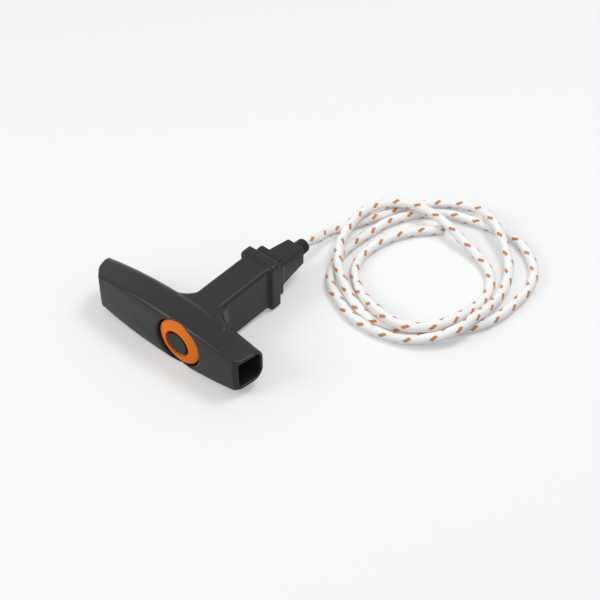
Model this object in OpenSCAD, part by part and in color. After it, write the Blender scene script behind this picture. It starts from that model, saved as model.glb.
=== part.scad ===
// Recoil starter handle with a spring in its neck and a braided starter rope.
// The grip lies flat: X runs along the crossbar, Y along the neck towards the rope exit, Z is up.
// Sizes are in millimetres. The origin is below the middle of the handle, on the surface it lies on.

/* [Crossbar] */

// Front length of the crossbar on its long side, from the neck axis
bar_long = 50; // [40:0.1:60]
// Front length of the crossbar on its short side, from the neck axis
bar_short = 32.5; // [25:0.1:45]
// How much further the rear edge reaches than the front edge on the long side
slant_long = 5.4; // [0:0.1:8]
// The same on the short side
slant_short = 1.7; // [0:0.1:8]
// How far the long end bows outwards
bow_long = 1.4; // [0.2:0.1:2.5]
// How far the short end bows outwards
bow_short = 0.6; // [0.2:0.1:2.5]
// Depth of the crossbar from front to rear
bar_d = 14.3; // [10:0.1:20]
// Thickness of the crossbar in its middle
bar_t = 25.6; // [20:0.1:32]
// Radius of the arched top and underside
arch_r = 200; // [150:1:400]
// Radius of the gently bowed front
front_r = 550; // [200:5:900]
// How far the front swells between its top and bottom edges
swell = 0.76; // [0.2:0.02:2]
// Radius of the rounded rear edges
rear_r = 5; // [3:0.1:6.5]
// Chamfer of the corners between the front and the ends
end_cut = 1.2; // [0.4:0.1:2.5]
// Wall of the hollow crossbar ends
wall = 1.4; // [0.8:0.1:3]
// Wall left between each hollow and the front pocket
cross_wall = 4; // [2:0.1:10]

/* [Neck and collar] */

// Width of the neck
neck_w = 15; // [12:0.1:18]
// Height of the neck
neck_t = 23.2; // [18:0.1:26]
// Radius of the long edges of the neck
neck_r = 2; // [0.5:0.1:4]
// Radius of the plan fillets between crossbar and neck
fillet_r = 9; // [4:0.5:14]
// Rounding of the top and bottom edges of those fillets
fillet_e = 3.5; // [1:0.1:5]
// Where the collar starts
collar_y = 47; // [38:0.1:50]
// Length of the collar
collar_l = 7; // [5:0.1:12]
// Width of the collar
collar_w = 18.5; // [15:0.1:24]
// Height of the collar
collar_t = 25.6; // [20:0.1:28]
// Radius of the collar's long edges
collar_r = 1.6; // [0.5:0.1:4]
// Bore that holds the spring
bore_d = 10.4; // [8:0.1:11]
// Width of the flat core above and below the bore
core_w = 6; // [2:0.1:8]
// Height of that core
core_t = 19.6; // [12:0.1:20]

/* [Front cap] */

// Diameter of the round pocket in the front
pocket_d = 24; // [20:0.1:25]
// Depth of the pocket, from the ends of the front
pocket_y = 6; // [4:0.1:9]
// Width of the dished edge round the pocket
dish_w = 0.6; // [0.2:0.1:1]
// Depth of the dished edge
dish_h = 1.3; // [0.4:0.1:2]
// Step between the pocket's wall and the rim of the coloured ring
ring_step = 0.25; // [0.2:0.05:1.5]
// Hole in the ring
ring_hole = 13.2; // [8:0.1:18]
// Dark gap round the centre button
button_gap = 1.5; // [0.3:0.1:3]

/* [Guide and bush] */

// Width of the guide flange
flange_w = 13.2; // [10:0.1:18]
// Height of the guide flange
flange_t = 22.4; // [14:0.1:24]
// Length of the guide flange
flange_l = 4.7; // [2:0.1:8]
// Length of the tapered guide
cone_l = 16.1; // [10:0.1:24]
// Width across the flats of the guide at its root
cone_a = 12.6; // [9:0.1:14]
// Width across the flats of the guide at its tip
cone_b = 9.4; // [8:0.1:12]
// Radius over the rounded corners of the guide at its root
cone_ra = 8.5; // [6.5:0.1:9]
// The same at its tip
cone_rb = 6.4; // [5.2:0.1:7.5]
// Outer diameter of the exit bush's tip
bush_d = 7.2; // [5.8:0.1:8]
// Diameter of its stem inside the guide
stem_d = 7.8; // [7.2:0.1:8.4]
// Length of the bush beyond the guide
bush_l = 5.7; // [3:0.1:10]
// Bore of the exit bush, 0.3 mm clear of the rope all round
bush_bore = 5.1; // [4.8:0.1:6]

/* [Spring and rope] */

// Diameter of the rope
rope_d = 4.5; // [3:0.1:6]
// Wire of the spring
wire_d = 1.4; // [0.8:0.1:1.8]
// Turns of the spring
spring_turns = 8; // [4:0.5:12]
// Length of the stopper knot
knot_l = 9; // [7:0.1:12]
// Length of the cup's sleeve inside the spring
sleeve_l = 8; // [4:0.1:14]

/* [Hidden] */

$fn = 96;

// Running clearance of what slides in the bore, and of what only fits
slide_gap = 0.3;
fit_gap = 0.1;
// How deep the ends of the fillets sink into the rounded rear
web_sink = 0.15;
// Gap between the cup's sleeve and the spring
sleeve_gap = 0.5;

// Places along the neck, from the ends of the front
collar_end = collar_y + collar_l;
flange_end = collar_end + flange_l;
cone_end = flange_end + cone_l;
bush_end = cone_end + bush_l;
knot_y = pocket_y + 2;
nipple_y = knot_y + knot_l;
sleeve_y = nipple_y + 2;
sleeve_end = sleeve_y + sleeve_l;
seat_y = collar_end - 4.4;
stop_y = seat_y - 1.6;
spigot_y = collar_end - 2.5;
rope_start = bush_end + 0.5;

// Sizes that follow from others
spring_d = bore_d - 2 * slide_gap;
sliding_r = bore_d / 2 - slide_gap;
spigot_d = stem_d + 2.3;
button_d = ring_hole - 2 * button_gap;
skirt_t = 1.3;
skirt_r = pocket_d / 2 - 2 * skirt_t;
lip_y = 1;
button_t = 2;
bar_mid = (bar_short + slant_short / 2 - bar_long - slant_long / 2) / 2;
crown = front_r - sqrt(front_r ^ 2 - ((bar_long + bar_short) / 2) ^ 2);
front_y = -crown - swell;
swell_r = (bar_t ^ 2 / 4 + swell ^ 2) / 2 / swell;

// Neck axis and front plane in the part's frame, which stands below the handle's middle
neck_x = (bar_long + slant_long - bar_short - slant_short) / 2;
face_y = -(front_y + rope_start) / 2;
mid_z = bar_t / 2;

// Length that clears the crossbar on either side, for the shapes that cut it
reach = bar_long + slant_long + 10;

// Half the thickness of the crossbar at a place along it
function arch_h(x) = bar_t / 2 - arch_r + sqrt(arch_r ^ 2 - (x - bar_mid) ^ 2);
end_h = arch_h(bar_short + slant_short / 2);

// Route of the free rope: the middle of the rope at each ring
route = [
    [neck_x, face_y + rope_start, mid_z], [neck_x, face_y + rope_start + 2, mid_z],
    [10.4, 51.5, 9.9], [8.5, 60.5, 6.2], [10, 70.5, 3.3], [13.5, 80.5, 2.3],
    [17.5, 90, 2.3], [21.5, 99, 2.3], [27.5, 108, 2.3], [34.5, 115.5, 2.6], [44, 120, 3.6],
    [54, 120, 5.6], [63, 115.5, 7.2], [71, 110.5, 6.6], [79, 104, 4.4], [85.5, 96.5, 2.9],
    [90, 87, 2.3], [92.5, 76.5, 3.2], [93.5, 66, 5.4], [93.5, 56, 7.4], [92, 46.5, 7.3],
    [86.5, 38.5, 5.3], [78, 32, 3.4], [68.5, 28.5, 2.3], [58.5, 27, 2.3], [48, 28, 2.3],
    [38.5, 32, 2.3], [29.5, 37.5, 2.3], [23.5, 46, 2.3], [20.5, 56, 2.3], [20, 66, 2.3],
    [21, 76.5, 2.3], [22.5, 87, 2.3], [26.5, 96.5, 2.3], [32.5, 104.5, 2.3], [41, 110.5, 2.3],
    [50.5, 114, 2.3], [60.5, 116, 2.3], [71, 117, 2.3], [80.5, 115, 2.3], [89, 109.5, 2.3],
    [95.5, 102, 2.3], [99, 92, 2.3], [99.5, 81.5, 2.3], [99, 71.5, 2.3], [96.5, 61.5, 2.3],
    [91, 52.5, 2.3], [84, 45, 2.3], [76, 38, 2.3], [66.5, 33.5, 2.3], [56.5, 32, 2.3],
    [47, 34, 2.5], [37.5, 38.5, 4.1], [29, 44, 6.1], [22.5, 51.5, 7.5], [17.5, 60, 7.9],
    [14.5, 69.5, 7.8], [12.5, 79, 7.2], [14, 88.5, 6.6], [19.5, 96.5, 7], [28.5, 100.5, 7.7],
    [39, 101, 7.9], [49, 99.5, 7.2], [59, 97.5, 5], [68.5, 95.5, 3], [78, 91, 2.3],
    [84.5, 83.5, 2.3], [87.5, 73.5, 2.3], [88, 63, 4.3], [87.5, 53, 6.8], [84.5, 43, 7.9],
    [78, 35.5, 8], [68.5, 32.5, 7.7], [58.5, 34.5, 6.8], [49, 38.5, 4.2], [40, 44, 2.4],
    [32.5, 51, 2.3], [28.5, 60.5, 2.3], [28.5, 71, 2.3], [31, 81, 2.3], [36, 90, 2.3],
    [43, 97.5, 2.3], [47, 101, 2.3]
];

function unit(v) = v / norm(v);
function ahead(i) = unit(route[min(i + 1, len(route) - 1)] - route[max(i - 1, 0)]);
function side(i) = unit(cross([0, 0, 1], ahead(i)));
function ring(i, n, r) =
    let (s = side(i), u = cross(ahead(i), s))
    [for (k = [0:n - 1]) route[i] + r * cos(360 * k / n) * s + r * sin(360 * k / n) * u];

// Moves a shape from the neck axis and front plane to the part's frame
module place() {
    translate([neck_x, face_y, mid_z]) children();
}

// Turns a shape made along Z so that it runs along Y, with its Z as Y
module along_y() {
    rotate([-90, 0, 0]) children();
}

module round_rect(w, h, r) {
    square([w - 2 * r, h], center = true);
    square([w, h - 2 * r], center = true);
    for (x = [-1, 1], y = [-1, 1]) {
        translate([x * (w / 2 - r), y * (h / 2 - r)]) circle(r);
    }
}

// Section of one arched half in radius and depth, rounded at the rear and eased at the front
module arch_section() {
    r = arch_r;
    difference() {
        translate([0, -2]) square([r, bar_d + 2]);
        translate([r - rear_r, bar_d - rear_r]) square([rear_r + 1, rear_r + 1]);
        translate([r, -crown - 0.5]) rotate(45) square(2.4, center = true);
    }
    translate([r - rear_r, bar_d - rear_r]) circle(rear_r);
}

// One arched half of the crossbar, turned about an axis along Y far below it
module arch_half() {
    intersection() {
        translate([bar_mid, 0, bar_t / 2 - arch_r]) rotate([90, 0, 0]) mirror([0, 0, 1])
            rotate_extrude($fn = 360) arch_section();
        translate([-reach, front_y - 1, 0]) cube([2 * reach, bar_d - front_y + 2, bar_t]);
    }
}

// Plan that keeps what lies inside one slanted, bowed end
module end_plan(from, slant, bow) {
    h = norm([bar_d, slant]) / 2;
    r = (h ^ 2 + bow ^ 2) / 2 / bow;
    a = atan2(slant, bar_d);
    translate([from + slant / 2, bar_d / 2]) rotate(-a) translate([bow - r, 0]) {
        circle(r, $fn = 360);
        translate([-2 * reach, -2 * reach]) square([2 * reach, 4 * reach]);
    }
}

// Plan of the crossbar with its bowed ends and cut front corners
module bar_plan() {
    c = end_cut - front_y + 1;
    e = 10;
    intersection() {
        polygon([
            [c - bar_long, front_y - 1], [bar_short - c, front_y - 1],
            [bar_short + e, end_cut + e], [bar_short + e, bar_d + e],
            [-bar_long - e, bar_d + e], [-bar_long - e, end_cut + e]
        ]);
        end_plan(bar_short, slant_short, bow_short);
        mirror([1, 0]) end_plan(bar_long, slant_long, bow_long);
    }
}

// Disc whose edge is the bowed and swelled front
module front_disc() {
    translate([bar_mid, front_r - crown, 0]) rotate_extrude($fn = 720) union() {
        translate([0, -bar_t]) square([front_r - 2, 2 * bar_t]);
        intersection() {
            translate([front_r - 4, -bar_t]) square([10, 2 * bar_t]);
            translate([front_r + swell - swell_r, 0]) circle(swell_r, $fn = 360);
        }
    }
}

module crossbar() {
    intersection() {
        union() {
            arch_half();
            mirror([0, 0, 1]) arch_half();
        }
        translate([0, 0, -bar_t]) linear_extrude(2 * bar_t) bar_plan();
        front_disc();
    }
}

// Turned tool that leaves a fillet with rounded top and bottom edges
module fillet_tool(n) {
    e = fillet_e;
    c = fillet_r + e;
    rotate_extrude() difference() {
        translate([0, -n - 1]) square([c, 2 * n + 2]);
        translate([fillet_r, e - n]) square([e + 1, 2 * (n - e)]);
        for (s = [-1, 1]) {
            translate([c, s * (n - e)]) circle(e);
        }
    }
}

// Webs that join the crossbar to the neck
module web() {
    w = neck_w / 2 + fillet_r;
    n = neck_t / 2 - 0.05;
    difference() {
        translate([-w, bar_d - rear_r, -n]) cube([2 * w, rear_r + fillet_r - web_sink, 2 * n]);
        for (x = [-w, w]) {
            translate([x, bar_d - web_sink + fillet_r, 0]) fillet_tool(n);
        }
    }
}

module neck_body() {
    translate([0, bar_d - 4, 0]) along_y() linear_extrude(collar_end - bar_d + 2)
        round_rect(neck_w, neck_t, neck_r);
}

// Collar with sloped front edges, as a rounded block cut by a turned cone
module collar() {
    h = collar_end - collar_y;
    intersection() {
        translate([0, collar_y, 0]) along_y() linear_extrude(h) round_rect(collar_w, collar_t, collar_r);
        translate([-collar_w, 0, 0]) rotate([90, 0, 90]) linear_extrude(2 * collar_w) polygon([
            [collar_y, -collar_t / 2 + 2.4], [collar_y + 1, -collar_t / 2 + 0.9],
            [collar_y + 2.6, -collar_t / 2], [collar_end, -collar_t / 2],
            [collar_end, collar_t / 2], [collar_y + 2.6, collar_t / 2],
            [collar_y + 1, collar_t / 2 - 0.9], [collar_y, collar_t / 2 - 2.4]
        ]);
        translate([0, 0, -collar_t]) linear_extrude(2 * collar_t) polygon([
            [-collar_w / 2 + 1.6, collar_y], [-collar_w / 2, collar_y + 1.6],
            [-collar_w / 2, collar_end], [collar_w / 2, collar_end],
            [collar_w / 2, collar_y + 1.6], [collar_w / 2 - 1.6, collar_y]
        ]);
    }
}

// Straight D-shaped hollow of one crossbar end
module hollow(from, to) {
    h = end_h - wall;
    r = min(rear_r - wall, h - 0.3);
    y0 = wall + 0.1;
    y1 = bar_d - wall;
    translate([from, 0, 0]) rotate([90, 0, 90]) linear_extrude(to - from) intersection() {
        translate([y0, -h]) square([y1 - y0, 2 * h]);
        union() {
            translate([y0 - 1, -h]) square([y1 - y0 - r + 1, 2 * h]);
            translate([y0, r - h]) square([y1 - y0, 2 * (h - r)]);
            for (s = [-1, 1]) {
                translate([y1 - r, s * (h - r)]) circle(r);
            }
        }
    }
}

module grip_shell() {
    color([0.13, 0.13, 0.14]) place() difference() {
        union() {
            crossbar();
            web();
            neck_body();
            collar();
        }
        hollow(-bar_long - slant_long - 5, -pocket_d / 2 - cross_wall);
        hollow(pocket_d / 2 + cross_wall, bar_short + slant_short + 5);
        translate([0, front_y - 2, 0]) along_y() cylinder(d = pocket_d, h = 2 - front_y + pocket_y);
        translate([0, front_y - 1, 0]) along_y()
            cylinder(d1 = pocket_d + 2 * dish_w * (1 + 1 / dish_h), d2 = pocket_d, h = 1 + dish_h);
        translate([0, pocket_y - 1, 0]) along_y() cylinder(d = bore_d, h = seat_y - pocket_y + 1);
        translate([-core_w / 2, pocket_y - 1, -core_t / 2])
            cube([core_w, seat_y - pocket_y + 1, core_t]);
        translate([0, seat_y - 1, 0]) along_y() cylinder(d = stem_d + 2 * fit_gap, h = 10);
        translate([0, spigot_y, 0]) along_y() cylinder(d = spigot_d + 2 * fit_gap, h = 10);
    }
}

// Truncated ring that fills the pocket around the button, on a skirt that stands on its floor
module cap_ring() {
    r = pocket_d / 2 - ring_step;
    p = pocket_d / 2 - fit_gap;
    s = skirt_r + skirt_t;
    color([0.92, 0.42, 0.1]) place() rotate([-90, 0, 0]) rotate_extrude() polygon([
        [ring_hole / 2, front_y], [r - 0.3, -0.15], [r, 0.15], [p, 0.4], [p, 2.2],
        [s, 2.6], [s, pocket_y], [skirt_r, pocket_y], [skirt_r, lip_y], [ring_hole / 2, lip_y]
    ]);
}

module cap_button() {
    r = button_d / 2;
    f = front_y + 0.3;
    color([0.2, 0.22, 0.22]) place() rotate([-90, 0, 0]) rotate_extrude() polygon([
        [0, f], [r - 0.4, f], [r, f + 0.4], [r, lip_y], [skirt_r - fit_gap, lip_y],
        [skirt_r - fit_gap, lip_y + button_t], [0, lip_y + button_t]
    ]);
}

// Flange and four-sided tapering guide behind the collar
module guide_cone() {
    h = cone_end - flange_end;
    color([0.12, 0.12, 0.13]) place() difference() {
        union() {
            translate([0, spigot_y, 0]) along_y() cylinder(d = spigot_d, h = collar_end - spigot_y + 1);
            translate([0, collar_end, 0]) along_y() linear_extrude(flange_end - collar_end)
                round_rect(flange_w, flange_t, 1.5);
            translate([0, flange_end, 0]) along_y() intersection() {
                rotate(45) cylinder(r1 = cone_a / sqrt(2), r2 = cone_b / sqrt(2), h = h, $fn = 4);
                cylinder(r1 = cone_ra, r2 = cone_rb, h = h);
                cylinder(r1 = cone_rb + h, r2 = cone_rb - 0.8, h = h + 0.8);
            }
        }
        translate([0, spigot_y - 1, 0]) along_y()
            cylinder(d = stem_d + 2 * fit_gap, h = cone_end - spigot_y + 3);
    }
}

// Bush that the rope leaves through, with the shoulder that the spring bears on
module exit_bush() {
    r = bush_d / 2;
    b = bush_bore / 2;
    s = stem_d / 2;
    e = cone_end + 0.6;
    color([0.1, 0.1, 0.1]) place() rotate([-90, 0, 0]) rotate_extrude() polygon([
        [b, stop_y], [sliding_r, stop_y], [sliding_r, seat_y], [s, seat_y], [s, e - 0.2], [s - 0.2, e],
        [r, e], [r - 0.2, bush_end - 0.7], [r - 0.4, bush_end - 0.2], [r - 0.7, bush_end], [b, bush_end]
    ]);
}

// Cup on the rope that presses the spring
module rope_nipple() {
    b = rope_d / 2 + 0.05;
    r = spring_d / 2 - wire_d - sleeve_gap;
    color([0.72, 0.73, 0.75]) place() rotate([-90, 0, 0]) rotate_extrude() polygon([
        [b, nipple_y], [sliding_r, nipple_y], [sliding_r, sleeve_y],
        [r, sleeve_y], [r, sleeve_end], [b, sleeve_end]
    ]);
}

function coil(i, k, n, m) =
    let (
        t = i / m,
        a = 360 * spring_turns * t,
        c = (spring_d - wire_d) / 2,
        h = stop_y - sleeve_y - wire_d,
        y = sleeve_y + wire_d / 2 + h * (t + 0.018 * sin(360 * t)),
        q = 360 * k / n,
        w = c + wire_d / 2 * cos(q)
    )
    [w * cos(a), y + wire_d / 2 * sin(q), w * sin(a)];

module damper_spring() {
    n = 8;
    m = spring_turns * 20;
    points = [for (i = [0:m], k = [0:n - 1]) coil(i, k, n, m)];
    faces = concat(
        [[for (k = [0:n - 1]) k]],
        [for (i = [0:m - 1], k = [0:n - 1])
            [i * n + k, (i + 1) * n + k, (i + 1) * n + (k + 1) % n, i * n + (k + 1) % n]],
        [[for (k = [0:n - 1]) m * n + n - 1 - k]]
    );
    color([0.6, 0.6, 0.62]) place() polyhedron(points, faces, convexity = 10);
}

// Stopper knot at the end of the rope inside the grip
module rope_knot() {
    c = knot_y + knot_l / 2;
    r = sliding_r - 0.1;
    color([0.9, 0.9, 0.88]) place() difference() {
        intersection() {
            translate([0, c, 0]) sphere(r = r + 0.7);
            translate([0, knot_y, 0]) along_y() cylinder(r = r, h = knot_l);
        }
        for (s = [-1, 1]) {
            translate([s * (r + 0.4), c, 0]) rotate([0, 0, s * 35]) cylinder(r = 0.9, h = 12, center = true);
        }
    }
}

module rope_inner() {
    color([0.93, 0.93, 0.91]) place() translate([0, nipple_y, 0]) along_y()
        cylinder(d = rope_d, h = rope_start - nipple_y);
}

module starter_rope() {
    n = 10;
    m = len(route) - 1;
    points = [for (i = [0:m]) each ring(i, n, rope_d / 2)];
    faces = concat(
        [[for (k = [0:n - 1]) n - 1 - k]],
        [for (i = [0:m - 1], k = [0:n - 1])
            [i * n + k, i * n + (k + 1) % n, (i + 1) * n + (k + 1) % n, (i + 1) * n + k]],
        [[for (k = [0:n - 1]) m * n + k]]
    );
    color([0.93, 0.93, 0.91]) polyhedron(points, faces, convexity = 10);
}

grip_shell();
cap_ring();
cap_button();
guide_cone();
exit_bush();
rope_nipple();
damper_spring();
rope_knot();
rope_inner();
starter_rope();
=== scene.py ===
"""Recoil starter handle: a T-shaped pull grip with a spring in its neck, and its braided starter rope.

The pieces are dressed on their CAD solids. X runs along the crossbar, Y along the neck and Z is up.
"""

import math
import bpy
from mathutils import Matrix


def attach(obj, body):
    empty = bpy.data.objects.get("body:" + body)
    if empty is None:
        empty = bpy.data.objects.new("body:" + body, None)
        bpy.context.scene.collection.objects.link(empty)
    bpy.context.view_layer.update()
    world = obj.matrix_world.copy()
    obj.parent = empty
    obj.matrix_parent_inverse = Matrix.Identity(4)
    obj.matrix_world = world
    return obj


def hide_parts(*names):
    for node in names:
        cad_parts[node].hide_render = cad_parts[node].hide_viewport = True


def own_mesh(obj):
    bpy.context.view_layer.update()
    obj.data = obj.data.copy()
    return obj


bl_info = {
    "name": "Recoil Starter Handle",
    "version": (1, 0, 0),
    "blender": (4, 5, 0),
    "location": "View3D > Sidebar > Starter Handle",
    "description": "Builds the moulded grip, its cap and guide, the damper and the braided starter rope",
    "category": "Object",
}

import bmesh
import bpy
from mathutils import Vector
from mathutils.bvhtree import BVHTree

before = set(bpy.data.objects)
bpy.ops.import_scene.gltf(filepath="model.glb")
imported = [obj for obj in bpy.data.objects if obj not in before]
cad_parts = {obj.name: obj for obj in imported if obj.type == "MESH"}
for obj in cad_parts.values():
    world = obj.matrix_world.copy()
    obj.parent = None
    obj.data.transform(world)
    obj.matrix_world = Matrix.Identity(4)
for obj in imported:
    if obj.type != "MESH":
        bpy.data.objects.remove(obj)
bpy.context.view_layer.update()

MM = 0.001

# Where the neck axis lies, and the plane of the crossbar's front, in metres
NECK_X = 0.0106
NECK_Z = 0.0128
FACE_Y = -0.03935

# Ends of the spring, from the front plane
SPRING_LOW = 0.019
SPRING_HIGH = 0.048

# Width of the faces that follow the small guide, and how often its edges are eased
GUIDE_SKIN = 0.00024
GUIDE_PASSES = 9

# How far the rope's mesh reaches into the bush
ROPE_TUCK = 0.003

# Yarns that go round the rope each way, and how many of them share one tracer
YARNS = 8
TRACER_SHARE = 4

# Middle of the free rope, in metres, from the exit bush to the sealed end
ROUTE = [
    (0.0106, 0.04165, 0.0128), (0.0106, 0.04365, 0.0128), (0.0104, 0.0515, 0.0099),
    (0.0085, 0.0605, 0.0062), (0.01, 0.0705, 0.0033), (0.0135, 0.0805, 0.0023),
    (0.0175, 0.09, 0.0023), (0.0215, 0.099, 0.0023), (0.0275, 0.108, 0.0023),
    (0.0345, 0.1155, 0.0026), (0.044, 0.12, 0.0036), (0.054, 0.12, 0.0056), (0.063, 0.1155, 0.0072),
    (0.071, 0.1105, 0.0066), (0.079, 0.104, 0.0044), (0.0855, 0.0965, 0.0029), (0.09, 0.087, 0.0023),
    (0.0925, 0.0765, 0.0032), (0.0935, 0.066, 0.0054), (0.0935, 0.056, 0.0074), (0.092, 0.0465, 0.0073),
    (0.0865, 0.0385, 0.0053), (0.078, 0.032, 0.0034), (0.0685, 0.0285, 0.0023), (0.0585, 0.027, 0.0023),
    (0.048, 0.028, 0.0023), (0.0385, 0.032, 0.0023), (0.0295, 0.0375, 0.0023), (0.0235, 0.046, 0.0023),
    (0.0205, 0.056, 0.0023), (0.02, 0.066, 0.0023), (0.021, 0.0765, 0.0023), (0.0225, 0.087, 0.0023),
    (0.0265, 0.0965, 0.0023), (0.0325, 0.1045, 0.0023), (0.041, 0.1105, 0.0023), (0.0505, 0.114, 0.0023),
    (0.0605, 0.116, 0.0023), (0.071, 0.117, 0.0023), (0.0805, 0.115, 0.0023), (0.089, 0.1095, 0.0023),
    (0.0955, 0.102, 0.0023), (0.099, 0.092, 0.0023), (0.0995, 0.0815, 0.0023), (0.099, 0.0715, 0.0023),
    (0.0965, 0.0615, 0.0023), (0.091, 0.0525, 0.0023), (0.084, 0.045, 0.0023), (0.076, 0.038, 0.0023),
    (0.0665, 0.0335, 0.0023), (0.0565, 0.032, 0.0023), (0.047, 0.034, 0.0025), (0.0375, 0.0385, 0.0041),
    (0.029, 0.044, 0.0061), (0.0225, 0.0515, 0.0075), (0.0175, 0.06, 0.0079), (0.0145, 0.0695, 0.0078),
    (0.0125, 0.079, 0.0072), (0.014, 0.0885, 0.0066), (0.0195, 0.0965, 0.007), (0.0285, 0.1005, 0.0077),
    (0.039, 0.101, 0.0079), (0.049, 0.0995, 0.0072), (0.059, 0.0975, 0.005), (0.0685, 0.0955, 0.003),
    (0.078, 0.091, 0.0023), (0.0845, 0.0835, 0.0023), (0.0875, 0.0735, 0.0023), (0.088, 0.063, 0.0043),
    (0.0875, 0.053, 0.0068), (0.0845, 0.043, 0.0079), (0.078, 0.0355, 0.008), (0.0685, 0.0325, 0.0077),
    (0.0585, 0.0345, 0.0068), (0.049, 0.0385, 0.0042), (0.04, 0.044, 0.0024), (0.0325, 0.051, 0.0023),
    (0.0285, 0.0605, 0.0023), (0.0285, 0.071, 0.0023), (0.031, 0.081, 0.0023), (0.036, 0.09, 0.0023),
    (0.043, 0.0975, 0.0023), (0.047, 0.101, 0.0023),
]

# How bright the floor's own glow and the backdrop look, where 1 is white
FLOOR_GLOW = 0.3
SKY_GLOW = 0.9

# The way from the part to the camera, what the camera looks at, how far off it is, and its lens in mm
CAMERA_WAY = (0.4674, -0.5463, 0.6950)
CAMERA_TARGET = (0.03075, 0.01466, 0.010)
CAMERA_DISTANCE = 0.61172
CAMERA_LENS = 84
LAMP_TARGET = (0.03, 0.02, 0.01)


class HandleSettings(bpy.types.PropertyGroup):
    """Sizes and colours of the handle's dressed pieces"""

    grip_color: bpy.props.FloatVectorProperty(
        name="Grip colour", description="Colour of the moulded grip",
        subtype="COLOR", size=3, min=0, max=1, default=(0.026, 0.026, 0.0265),
    )
    guide_color: bpy.props.FloatVectorProperty(
        name="Guide colour", description="Colour of the tapered guide and the button",
        subtype="COLOR", size=3, min=0, max=1, default=(0.020, 0.020, 0.0205),
    )
    ring_color: bpy.props.FloatVectorProperty(
        name="Ring colour", description="Colour of the ring in the front",
        subtype="COLOR", size=3, min=0, max=1, default=(0.90, 0.20, 0.012),
    )
    rope_color: bpy.props.FloatVectorProperty(
        name="Rope colour", description="Colour of the braid's plain yarns",
        subtype="COLOR", size=3, min=0, max=1, default=(0.92, 0.925, 0.92),
    )
    tracer_color: bpy.props.FloatVectorProperty(
        name="Tracer colour", description="Colour of the braid's tracer yarns",
        subtype="COLOR", size=3, min=0, max=1, default=(0.66, 0.22, 0.04),
    )
    skin_size: bpy.props.FloatProperty(
        name="Skin size", description="Width of the faces that follow the moulded grip",
        unit="LENGTH", min=0.0003, max=0.001, precision=5, default=0.00042,
    )
    edge_passes: bpy.props.IntProperty(
        name="Edge passes", description="How often the moulded edges are eased",
        min=0, max=40, default=10,
    )
    rope_diameter: bpy.props.FloatProperty(
        name="Rope diameter", description="Diameter of the starter rope",
        unit="LENGTH", min=0.003, max=0.006, precision=5, default=0.0045,
    )
    braid_pitch: bpy.props.FloatProperty(
        name="Braid pitch", description="Length of rope in which a yarn goes round it once",
        unit="LENGTH", min=0.01, max=0.04, precision=5, default=0.022,
    )
    braid_relief: bpy.props.FloatProperty(
        name="Braid relief", description="Height of a yarn over its neighbours",
        unit="LENGTH", min=0, max=0.0004, precision=5, default=0.00013,
    )
    spring_wire: bpy.props.FloatProperty(
        name="Spring wire", description="Diameter of the damper spring's wire",
        unit="LENGTH", min=0.0008, max=0.0018, precision=5, default=0.0014,
    )


def settings():
    """The sizes and colours kept with the scene."""
    return bpy.context.scene.starter_handle


# Shader groups


def new_group(name, inputs, outputs):
    """An empty shader group with those sockets, and its two ends."""
    group = bpy.data.node_groups.new(name, "ShaderNodeTree")
    for label, kind, value in inputs:
        socket = group.interface.new_socket(label, in_out="INPUT", socket_type=kind)
        socket.default_value = value
    for label, kind in outputs:
        group.interface.new_socket(label, in_out="OUTPUT", socket_type=kind)
    return group, group.nodes.new("NodeGroupInput"), group.nodes.new("NodeGroupOutput")


def math_node(tree, operation, a, b=None):
    """A math node on two sockets or numbers; returns its output."""
    node = tree.nodes.new("ShaderNodeMath")
    node.operation = operation
    for socket, value in zip(node.inputs, (a, b)):
        if value is None:
            continue
        if isinstance(value, (int, float)):
            socket.default_value = value
        else:
            tree.links.new(value, socket)
    return node.outputs[0]


def noise_node(tree, coordinates, scale, detail=2.0, roughness=0.5):
    """A noise of that scale on the coordinates; returns its output."""
    node = tree.nodes.new("ShaderNodeTexNoise")
    node.inputs["Scale"].default_value = scale
    node.inputs["Detail"].default_value = detail
    node.inputs["Roughness"].default_value = roughness
    tree.links.new(coordinates, node.inputs["Vector"])
    return node.outputs[0]


def moulded_grain():
    """Fine eroded grain of a moulding, with slow cloudy tone and a matching change of gloss."""
    name = "Moulded grain"
    if name in bpy.data.node_groups:
        return bpy.data.node_groups[name]
    group, start, end = new_group(
        name,
        [
            ("Color", "NodeSocketColor", (0.05, 0.05, 0.05, 1)),
            ("Tone", "NodeSocketFloat", 0.12),
            ("Roughness", "NodeSocketFloat", 0.5),
            ("Gloss change", "NodeSocketFloat", 0.1),
        ],
        [("Color", "NodeSocketColor"), ("Roughness", "NodeSocketFloat"), ("Height", "NodeSocketFloat")],
    )
    place = group.nodes.new("ShaderNodeTexCoord").outputs["Object"]
    fine = noise_node(group, place, 3200, 3, 0.6)
    cloud = noise_node(group, place, 90, 3, 0.55)
    tone = math_node(group, "SUBTRACT", cloud, 0.5)
    tone = math_node(group, "MULTIPLY", tone, start.outputs["Tone"])
    tone = math_node(group, "ADD", tone, 1.0)
    scaled = group.nodes.new("ShaderNodeVectorMath")
    scaled.operation = "SCALE"
    group.links.new(start.outputs["Color"], scaled.inputs[0])
    group.links.new(tone, scaled.inputs["Scale"])
    group.links.new(scaled.outputs[0], end.inputs["Color"])
    gloss = math_node(group, "SUBTRACT", cloud, 0.5)
    gloss = math_node(group, "MULTIPLY", gloss, start.outputs["Gloss change"])
    speck = math_node(group, "MULTIPLY", math_node(group, "SUBTRACT", fine, 0.5), 0.12)
    gloss = math_node(group, "ADD", gloss, speck)
    group.links.new(math_node(group, "ADD", gloss, start.outputs["Roughness"]), end.inputs["Roughness"])
    group.links.new(fine, end.inputs["Height"])
    return group


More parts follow.
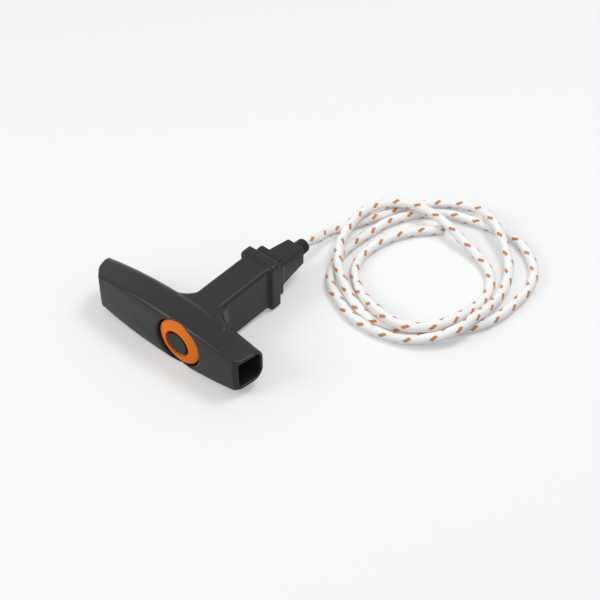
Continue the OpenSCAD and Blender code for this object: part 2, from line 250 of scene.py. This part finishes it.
def yarn_fibres():
    """Fine filaments of a braid's yarns and a slow change of tone along the rope."""
    name = "Yarn fibres"
    if name in bpy.data.node_groups:
        return bpy.data.node_groups[name]
    group, start, end = new_group(
        name,
        [("Color", "NodeSocketColor", (0.8, 0.8, 0.8, 1)), ("Tone", "NodeSocketFloat", 0.1)],
        [("Color", "NodeSocketColor"), ("Height", "NodeSocketFloat")],
    )
    uv = group.nodes.new("ShaderNodeTexCoord").outputs["UV"]
    stretch = group.nodes.new("ShaderNodeMapping")
    stretch.inputs["Scale"].default_value = (60, 46, 1)
    group.links.new(uv, stretch.inputs["Vector"])
    fibre = noise_node(group, stretch.outputs[0], 1.0, 2, 0.6)
    place = group.nodes.new("ShaderNodeTexCoord").outputs["Object"]
    cloud = noise_node(group, place, 160, 2)
    fibre_part = math_node(group, "MULTIPLY", fibre, 0.6)
    cloud_part = math_node(group, "MULTIPLY", cloud, 0.4)
    both = math_node(group, "ADD", fibre_part, cloud_part)
    tone = math_node(group, "MULTIPLY", math_node(group, "SUBTRACT", both, 0.5), start.outputs["Tone"])
    tone = math_node(group, "ADD", tone, 1.0)
    scaled = group.nodes.new("ShaderNodeVectorMath")
    scaled.operation = "SCALE"
    group.links.new(start.outputs["Color"], scaled.inputs[0])
    group.links.new(tone, scaled.inputs["Scale"])
    group.links.new(scaled.outputs[0], end.inputs["Color"])
    group.links.new(fibre, end.inputs["Height"])
    return group


def new_material(name):
    """An empty material with its Principled shader, and the tree it is in."""
    material = bpy.data.materials.new(name)
    material.use_nodes = True
    tree = material.node_tree
    tree.nodes.clear()
    shader = tree.nodes.new("ShaderNodeBsdfPrincipled")
    output = tree.nodes.new("ShaderNodeOutputMaterial")
    tree.links.new(shader.outputs[0], output.inputs["Surface"])
    return material, tree, shader


def add_bump(tree, shader, height, strength, distance):
    """Feeds a height to the shader's normal."""
    bump = tree.nodes.new("ShaderNodeBump")
    bump.inputs["Strength"].default_value = strength
    bump.inputs["Distance"].default_value = distance
    tree.links.new(height, bump.inputs["Height"])
    tree.links.new(bump.outputs[0], shader.inputs["Normal"])


def add_grain(tree, shader, color, roughness, tone, gloss_change, strength, distance):
    """Puts the moulded grain on a shader, with a bump of that strength and depth."""
    grained = tree.nodes.new("ShaderNodeGroup")
    grained.node_tree = moulded_grain()
    grained.inputs["Color"].default_value = (*color, 1)
    grained.inputs["Tone"].default_value = tone
    grained.inputs["Roughness"].default_value = roughness
    grained.inputs["Gloss change"].default_value = gloss_change
    tree.links.new(grained.outputs["Color"], shader.inputs["Base Color"])
    tree.links.new(grained.outputs["Roughness"], shader.inputs["Roughness"])
    add_bump(tree, shader, grained.outputs["Height"], strength, distance)


def plastic(name, color, roughness, tone=0.14, grain=0.00004, gloss=0.2):
    """Moulded plastic with a fine grain."""
    if name in bpy.data.materials:
        return bpy.data.materials[name]
    material, tree, shader = new_material(name)
    shader.inputs["Specular IOR Level"].default_value = gloss
    add_grain(tree, shader, color, roughness, tone, 0.12, 0.25, grain)
    return material


def metal(name, color, roughness):
    """Drawn or plated steel."""
    if name in bpy.data.materials:
        return bpy.data.materials[name]
    material, tree, shader = new_material(name)
    shader.inputs["Metallic"].default_value = 1.0
    add_grain(tree, shader, color, roughness, 0.2, 0.25, 0.3, 0.00001)
    return material


def braid(name, color, tone):
    """Yarn of a braided rope."""
    if name in bpy.data.materials:
        return bpy.data.materials[name]
    material, tree, shader = new_material(name)
    yarn = tree.nodes.new("ShaderNodeGroup")
    yarn.node_tree = yarn_fibres()
    yarn.inputs["Color"].default_value = (*color, 1)
    yarn.inputs["Tone"].default_value = tone
    tree.links.new(yarn.outputs["Color"], shader.inputs["Base Color"])
    shader.inputs["Roughness"].default_value = 0.72
    shader.inputs["Sheen Weight"].default_value = 0.25
    shader.inputs["Sheen Roughness"].default_value = 0.5
    add_bump(tree, shader, yarn.outputs["Height"], 0.6, 0.00008)
    return material


# Mesh tools


def place_piece(name, mesh, body, node, materials):
    """Links a finished mesh as a piece that rides on a body and stands for a CAD node."""
    piece = bpy.data.objects.new(name, mesh)
    bpy.context.scene.collection.objects.link(piece)
    for material in materials:
        mesh.materials.append(material)
    for polygon in mesh.polygons:
        polygon.use_smooth = True
    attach(piece, body)
    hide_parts(node)
    return piece


def moulded_mesh(node, voxel, passes):
    """The CAD solid as a fine even skin whose sharp edges are eased, as a moulding's are."""
    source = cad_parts[node]
    work = bpy.data.objects.new(node + "_work", source.data.copy())
    bpy.context.scene.collection.objects.link(work)
    skin = work.modifiers.new("Skin", "REMESH")
    skin.mode = "VOXEL"
    skin.voxel_size = voxel
    ease = work.modifiers.new("Ease", "SMOOTH")
    ease.factor = 0.5
    ease.iterations = passes
    evaluated = work.evaluated_get(bpy.context.evaluated_depsgraph_get())
    mesh = bpy.data.meshes.new_from_object(evaluated)
    bpy.data.objects.remove(work)
    mesh.materials.clear()
    form = bmesh.new()
    form.from_mesh(source.data)
    tree = BVHTree.FromBMesh(form)
    form.free()
    # Flat faces go back onto the solid, and eased edges stay as they are
    near = 0.12 * voxel
    far = 0.3 * voxel
    for vertex in mesh.vertices:
        spot, _, _, gap = tree.find_nearest(vertex.co)
        if spot is None or gap > far:
            continue
        share = min(1.0, (far - gap) / (far - near))
        vertex.co = vertex.co.lerp(spot, share)
    return mesh


def rounded(profile, radius, steps=4):
    """A profile of (radius, y) points with each inner corner replaced by a small arc."""
    points = [profile[0]]
    for before, corner, after in zip(profile, profile[1:], profile[2:]):
        a = Vector(before) - Vector(corner)
        b = Vector(after) - Vector(corner)
        cut = min(radius, 0.45 * a.length, 0.45 * b.length)
        if cut < 1e-6 or a.angle(b) > 3.1:
            points.append(corner)
            continue
        first = Vector(corner) + a.normalized() * cut
        last = Vector(corner) + b.normalized() * cut
        for i in range(steps + 1):
            t = i / steps
            spot = first * (1 - t) ** 2 + Vector(corner) * 2 * t * (1 - t) + last * t ** 2
            points.append(tuple(spot))
    points.append(profile[-1])
    return points


def turned_mesh(name, profile, closed=False, steps=128):
    """A mesh turned about the neck axis from (radius, y) points in millimetres from the front plane."""
    form = bmesh.new()
    rings = []
    for r, y in profile:
        if r < 1e-6:
            rings.append([form.verts.new((NECK_X, FACE_Y + y * MM, NECK_Z))])
            continue
        ring = []
        for k in range(steps):
            angle = 2 * math.pi * k / steps
            ring.append(form.verts.new((
                NECK_X + r * MM * math.cos(angle), FACE_Y + y * MM, NECK_Z + r * MM * math.sin(angle),
            )))
        rings.append(ring)
    pairs = list(zip(rings, rings[1:]))
    if closed:
        pairs.append((rings[-1], rings[0]))
    for a, b in pairs:
        for k in range(steps):
            n = (k + 1) % steps
            if len(a) == 1:
                form.faces.new((a[0], b[k], b[n]))
            elif len(b) == 1:
                form.faces.new((a[k], b[0], a[n]))
            else:
                form.faces.new((a[k], b[k], b[n], a[n]))
    bmesh.ops.recalc_face_normals(form, faces=form.faces)
    mesh = bpy.data.meshes.new(name)
    form.to_mesh(mesh)
    form.free()
    return mesh


def smooth_path(points, step):
    """Points at an even step along a smooth curve through the given points, with their distances."""
    knots = [Vector(p) for p in points]
    knots = [2 * knots[0] - knots[1]] + knots + [2 * knots[-1] - knots[-2]]
    dense = []
    for a, b, c, d in zip(knots, knots[1:], knots[2:], knots[3:]):
        for i in range(24):
            t = i / 24
            dense.append(0.5 * (
                2 * b + (c - a) * t + (2 * a - 5 * b + 4 * c - d) * t * t + (3 * b - a - 3 * c + d) * t ** 3
            ))
    dense.append(knots[-2])
    lengths = [0.0]
    for a, b in zip(dense, dense[1:]):
        lengths.append(lengths[-1] + (b - a).length)
    total = lengths[-1]
    count = max(2, round(total / step))
    path = []
    k = 0
    for i in range(count + 1):
        s = total * i / count
        while k < len(lengths) - 2 and lengths[k + 1] < s:
            k += 1
        span = lengths[k + 1] - lengths[k]
        path.append(dense[k].lerp(dense[k + 1], (s - lengths[k]) / span if span else 0))
    return path, total


def yarn_height(s, turn, pitch, relief):
    """Height of the braid's surface there, and whether a tracer yarn lies on top.

    The yarns of each way pass over two and under two. turn is a share of a full turn.
    """
    left = YARNS * (turn + s / pitch)
    right = YARNS * (turn - s / pitch)
    i = round(left)
    j = round(right)
    crown_left = math.sqrt(max(0.0, 1 - 3.2 * (left - i) ** 2))
    crown_right = math.sqrt(max(0.0, 1 - 3.2 * (right - j) ** 2))
    rise_left = math.cos(math.pi / 2 * (i - right - 0.5))
    rise_right = -math.cos(math.pi / 2 * (left - j - 0.5))
    top_left = 0.55 * crown_left + 0.45 * rise_left
    top_right = 0.55 * crown_right + 0.45 * rise_right
    tracer = top_left > top_right and i % TRACER_SHARE == 1
    return relief * (max(top_left, top_right) - 0.6), tracer


def rope_mesh(name, points, step=0.00055, sides=40, sealed=False):
    """A braided rope along a path: its mesh and its middle line. Tracer yarns take the second material."""
    diameter = settings().rope_diameter
    pitch = settings().braid_pitch
    relief = settings().braid_relief
    path, total = smooth_path(points, step)
    count = len(path)
    verts = []
    marks = []
    for i, spot in enumerate(path):
        along = (path[min(i + 1, count - 1)] - path[max(i - 1, 0)]).normalized()
        side = Vector((0, 0, 1)).cross(along).normalized()
        up = along.cross(side)
        s = total * i / (count - 1)
        left = (count - 1 - i) * total / (count - 1)
        shrink = 1.0
        if sealed and left < 0.5 * diameter:
            shrink = math.sqrt(max(0.05, 1 - (1 - left / (0.5 * diameter)) ** 2))
        for k in range(sides):
            turn = k / sides
            height, tracer = yarn_height(s, turn, pitch, relief)
            r = (diameter / 2 + height) * shrink
            angle = 2 * math.pi * turn
            verts.append(spot + side * (r * math.cos(angle)) + up * (r * math.sin(angle)))
            marks.append(tracer)
    faces = []
    for i in range(count - 1):
        for k in range(sides):
            n = (k + 1) % sides
            faces.append((i * sides + k, i * sides + n, (i + 1) * sides + n, (i + 1) * sides + k))
    faces.append(tuple(reversed(range(sides))))
    faces.append(tuple(range((count - 1) * sides, count * sides)))
    mesh = bpy.data.meshes.new(name)
    mesh.from_pydata(verts, [], faces)
    layer = mesh.uv_layers.new(name="Braid").data
    scale = total / (count - 1) / diameter
    for polygon in mesh.polygons:
        ring = polygon.index // sides
        if polygon.index < (count - 1) * sides:
            k = polygon.index % sides
            corners = ((ring, k), (ring, k + 1), (ring + 1, k + 1), (ring + 1, k))
            for loop, (a, b) in zip(polygon.loop_indices, corners):
                layer[loop].uv = (a * scale / 10, b / sides)
            if sum(marks[v] for v in polygon.vertices) >= 2:
                polygon.material_index = 1
    return mesh, path


# Pieces


class STARTER_OT_grip(bpy.types.Operator):
    """Moulded T-shaped grip with its hollow ends, neck and collar"""

    bl_idname = "starter.grip"
    bl_label = "Grip"

    def execute(self, context):
        values = settings()
        mesh = moulded_mesh("grip_shell", values.skin_size, values.edge_passes)
        finish = plastic("Grip plastic", values.grip_color, 0.27)
        place_piece("grip", mesh, "grip", "grip_shell", [finish])
        return {"FINISHED"}


class STARTER_OT_cap(bpy.types.Operator):
    """Coloured ring and dark button in the round pocket of the front"""

    bl_idname = "starter.cap"
    bl_label = "Cap"

    def execute(self, context):
        values = settings()
        ring = rounded([
            (6.6, 1), (6.6, -2.3), (10.9, -0.65), (11.2, -0.35), (11.25, 0.1), (11.25, 4.2), (11.85, 4.2),
            (11.85, 5), (10.7, 5), (10.7, 6), (9.4, 6), (9.4, 1), (6.6, 1),
        ], 0.3)
        mesh = turned_mesh("cap_ring_turned", ring)
        finish = plastic("Ring plastic", values.ring_color, 0.4, tone=0.08, grain=0.00002, gloss=0.15)
        place_piece("ring", mesh, "grip", "cap_ring", [finish])
        button = rounded([(0, -1.9), (3.6, -1.95), (5.1, -2.0), (5.1, 1), (9.3, 1), (9.3, 3), (0, 3)], 0.4)
        mesh = turned_mesh("cap_button_turned", button)
        finish = plastic("Button plastic", values.guide_color, 0.4, grain=0.00002)
        place_piece("button", mesh, "grip", "cap_button", [finish])
        return {"FINISHED"}


class STARTER_OT_guide(bpy.types.Operator):
    """Tapered guide behind the collar and the bush that the rope leaves through"""

    bl_idname = "starter.guide"
    bl_label = "Guide and bush"

    def execute(self, context):
        values = settings()
        mesh = moulded_mesh("guide_cone", GUIDE_SKIN, GUIDE_PASSES)
        finish = plastic("Guide plastic", values.guide_color, 0.27)
        place_piece("guide", mesh, "grip", "guide_cone", [finish])
        bush = rounded([
            (2.55, 80.5), (2.55, 48), (4.9, 48), (4.9, 49.6), (3.9, 49.6), (3.9, 75.3), (3.6, 75.4),
            (3.4, 79.9), (3.1, 80.5), (2.55, 80.5),
        ], 0.25)
        mesh = turned_mesh("exit_bush_turned", bush, steps=96)
        finish = plastic("Bush plastic", (0.010, 0.010, 0.0105), 0.4, grain=0.00001)
        place_piece("bush", mesh, "grip", "exit_bush", [finish])
        return {"FINISHED"}


def spring_mesh(wire):
    """Round wire wound between the cup and the bush's shoulder, with its end turns drawn together."""
    mean = 0.0049 - wire / 2
    low = FACE_Y + SPRING_LOW + wire / 2
    high = FACE_Y + SPRING_HIGH - wire / 2
    turns = 8
    steps = turns * 40
    sides = 12
    verts = []
    for i in range(steps + 1):
        t = i / steps
        angle = 2 * math.pi * turns * t
        y = low + (high - low) * (t + 0.018 * math.sin(2 * math.pi * t))
        for k in range(sides):
            q = 2 * math.pi * k / sides
            r = mean + wire / 2 * math.cos(q)
            verts.append((
                NECK_X + r * math.cos(angle), y + wire / 2 * math.sin(q), NECK_Z + r * math.sin(angle),
            ))
    faces = [
        (i * sides + k, (i + 1) * sides + k, (i + 1) * sides + (k + 1) % sides, i * sides + (k + 1) % sides)
        for i in range(steps) for k in range(sides)
    ]
    faces.append(tuple(range(sides)))
    faces.append(tuple(reversed(range(steps * sides, (steps + 1) * sides))))
    mesh = bpy.data.meshes.new("damper_spring_wound")
    mesh.from_pydata(verts, [], faces)
    return mesh


class STARTER_OT_damper(bpy.types.Operator):
    """Spring inside the neck and the cup on the rope that presses it"""

    bl_idname = "starter.damper"
    bl_label = "Damper"

    def execute(self, context):
        wire = settings().spring_wire
        finish = metal("Spring steel", (0.34, 0.34, 0.35), 0.38)
        spring = place_piece("spring", spring_mesh(wire), "grip", "damper_spring", [finish])
        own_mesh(spring)
        cup = rounded([
            (2.3, 27), (2.3, 17), (4.9, 17), (4.9, 19), (3.0, 19), (3.0, 27), (2.3, 27),
        ], 0.25)
        finish = metal("Zinc plate", (0.62, 0.63, 0.65), 0.35)
        mesh = turned_mesh("rope_cup_turned", cup, steps=96)
        place_piece("cup", mesh, "rope_end_unit", "rope_nipple", [finish])
        return {"FINISHED"}


class STARTER_OT_rope(bpy.types.Operator):
    """Braided starter rope, its run inside the neck and its stopper knot"""

    bl_idname = "starter.rope"
    bl_label = "Rope"

    def execute(self, context):
        values = settings()
        yarns = [
            braid("Rope yarn", values.rope_color, 0.12),
            braid("Tracer yarn", values.tracer_color, 0.5),
        ]
        inside = (NECK_X, ROUTE[0][1] - ROPE_TUCK, NECK_Z)
        mesh, path = rope_mesh("starter_rope_braided", [inside] + ROUTE, sealed=True)
        rope = place_piece("rope", mesh, "rope_end_unit", "starter_rope", yarns)
        run = [(NECK_X, FACE_Y + 0.017, NECK_Z), (NECK_X, FACE_Y + 0.045, NECK_Z), inside]
        mesh, _ = rope_mesh("rope_inner_braided", run, step=0.0008, sides=28)
        place_piece("rope_run", mesh, "rope_end_unit", "rope_inner", yarns)
        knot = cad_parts["rope_knot"]
        knot.data.materials.clear()
        knot.data.materials.append(yarns[0])
        return {"FINISHED"}


def area_lamp(name, spot, size, power, color=(1, 1, 1)):
    """A round lamp that looks at the part."""
    light = bpy.data.lights.new(name, "AREA")
    light.shape = "DISK"
    light.size = size
    light.energy = power
    light.color = color
    lamp = bpy.data.objects.new(name, light)
    lamp.location = spot
    lamp.rotation_euler = (Vector(LAMP_TARGET) - Vector(spot)).to_track_quat("-Z", "Y").to_euler()
    bpy.context.scene.collection.objects.link(lamp)


def seen_directly(tree):
    """1 on the rays that show the background: from the camera, in a gloss and through glass."""
    path = tree.nodes.new("ShaderNodeLightPath")
    seen = math_node(tree, "MAXIMUM", path.outputs["Is Camera Ray"], path.outputs["Is Glossy Ray"])
    return math_node(tree, "MAXIMUM", seen, path.outputs["Is Transmission Ray"])


def floor_material():
    """Pale floor that keeps the object's shadow."""
    material, tree, shader = new_material("Studio floor")
    shader.inputs["Base Color"].default_value = (0.62, 0.625, 0.625, 1)
    shader.inputs["Roughness"].default_value = 0.9
    shader.inputs["Specular IOR Level"].default_value = 0.0
    output = [n for n in tree.nodes if n.type == "OUTPUT_MATERIAL"][0]
    glow = tree.nodes.new("ShaderNodeEmission")
    glow.inputs["Color"].default_value = (1, 1, 1, 1)
    tree.links.new(math_node(tree, "MULTIPLY", seen_directly(tree), FLOOR_GLOW), glow.inputs["Strength"])
    both = tree.nodes.new("ShaderNodeAddShader")
    tree.links.new(shader.outputs[0], both.inputs[0])
    tree.links.new(glow.outputs[0], both.inputs[1])
    tree.links.new(both.outputs[0], output.inputs["Surface"])
    return material


class STARTER_OT_stage(bpy.types.Operator):
    """Pale floor, soft studio light and the camera"""

    bl_idname = "starter.stage"
    bl_label = "Stage"

    def execute(self, context):
        scene = context.scene
        form = bmesh.new()
        bmesh.ops.create_grid(form, x_segments=2, y_segments=2, size=3)
        mesh = bpy.data.meshes.new("floor")
        form.to_mesh(mesh)
        form.free()
        floor = bpy.data.objects.new("floor", mesh)
        scene.collection.objects.link(floor)
        mesh.materials.append(floor_material())
        world = bpy.data.worlds.new("Studio")
        world.use_nodes = True
        scene.world = world
        tree = world.node_tree
        tree.nodes.clear()
        sky = tree.nodes.new("ShaderNodeBackground")
        sky.inputs["Color"].default_value = (0.98, 0.99, 1.0, 1)
        way = tree.nodes.new("ShaderNodeTexCoord").outputs["Generated"]
        parts = tree.nodes.new("ShaderNodeSeparateXYZ")
        tree.links.new(way, parts.inputs[0])
        # The sky is dim at the horizon and brighter overhead
        rise = tree.nodes.new("ShaderNodeMapRange")
        rise.interpolation_type = "SMOOTHSTEP"
        sky_range = {"From Min": 0.0, "From Max": 0.9, "To Min": 0.15, "To Max": 0.7}
        for label, value in sky_range.items():
            rise.inputs[label].default_value = value
        tree.links.new(parts.outputs["Z"], rise.inputs["Value"])
        pale = math_node(tree, "MULTIPLY", seen_directly(tree), SKY_GLOW)
        tree.links.new(math_node(tree, "MAXIMUM", rise.outputs[0], pale), sky.inputs["Strength"])
        output = tree.nodes.new("ShaderNodeOutputWorld")
        tree.links.new(sky.outputs[0], output.inputs["Surface"])
        area_lamp("key", (-0.42, -0.72, 0.62), size=0.5, power=3.6, color=(1.0, 0.995, 0.985))
        area_lamp("back", (0.22, 0.35, 0.90), size=0.35, power=3.2)
        data = bpy.data.cameras.new("camera")
        data.lens = CAMERA_LENS
        data.sensor_width = 36
        data.clip_start = 0.01
        camera = bpy.data.objects.new("camera", data)
        scene.collection.objects.link(camera)
        back = Vector(CAMERA_WAY).normalized()
        camera.location = Vector(CAMERA_TARGET) + back * CAMERA_DISTANCE
        camera.rotation_euler = back.to_track_quat("Z", "Y").to_euler()
        scene.camera = camera
        scene.view_settings.view_transform = "Standard"
        return {"FINISHED"}


class STARTER_PT_panel(bpy.types.Panel):
    """Lists the pieces and their sizes and colours"""

    bl_idname = "STARTER_PT_panel"
    bl_label = "Starter Handle"
    bl_space_type = "VIEW_3D"
    bl_region_type = "UI"
    bl_category = "Starter Handle"

    def draw(self, context):
        column = self.layout.column()
        for name in HandleSettings.__annotations__:
            column.prop(context.scene.starter_handle, name)
        for operator in PIECES:
            column.operator(operator.bl_idname)


PIECES = (
    STARTER_OT_stage, STARTER_OT_rope, STARTER_OT_grip, STARTER_OT_cap, STARTER_OT_guide, STARTER_OT_damper,
)
CLASSES = (HandleSettings, *PIECES, STARTER_PT_panel)


def register():
    for item in CLASSES:
        bpy.utils.register_class(item)
    bpy.types.Scene.starter_handle = bpy.props.PointerProperty(type=HandleSettings)


def unregister():
    del bpy.types.Scene.starter_handle
    for item in reversed(CLASSES):
        bpy.utils.unregister_class(item)


def main():
    register()
    bpy.ops.starter.stage()
    bpy.ops.starter.rope()
    bpy.ops.starter.grip()
    bpy.ops.starter.cap()
    bpy.ops.starter.guide()
    bpy.ops.starter.damper()
    bpy.context.view_layer.update()


if __name__ == "__main__":
    main()
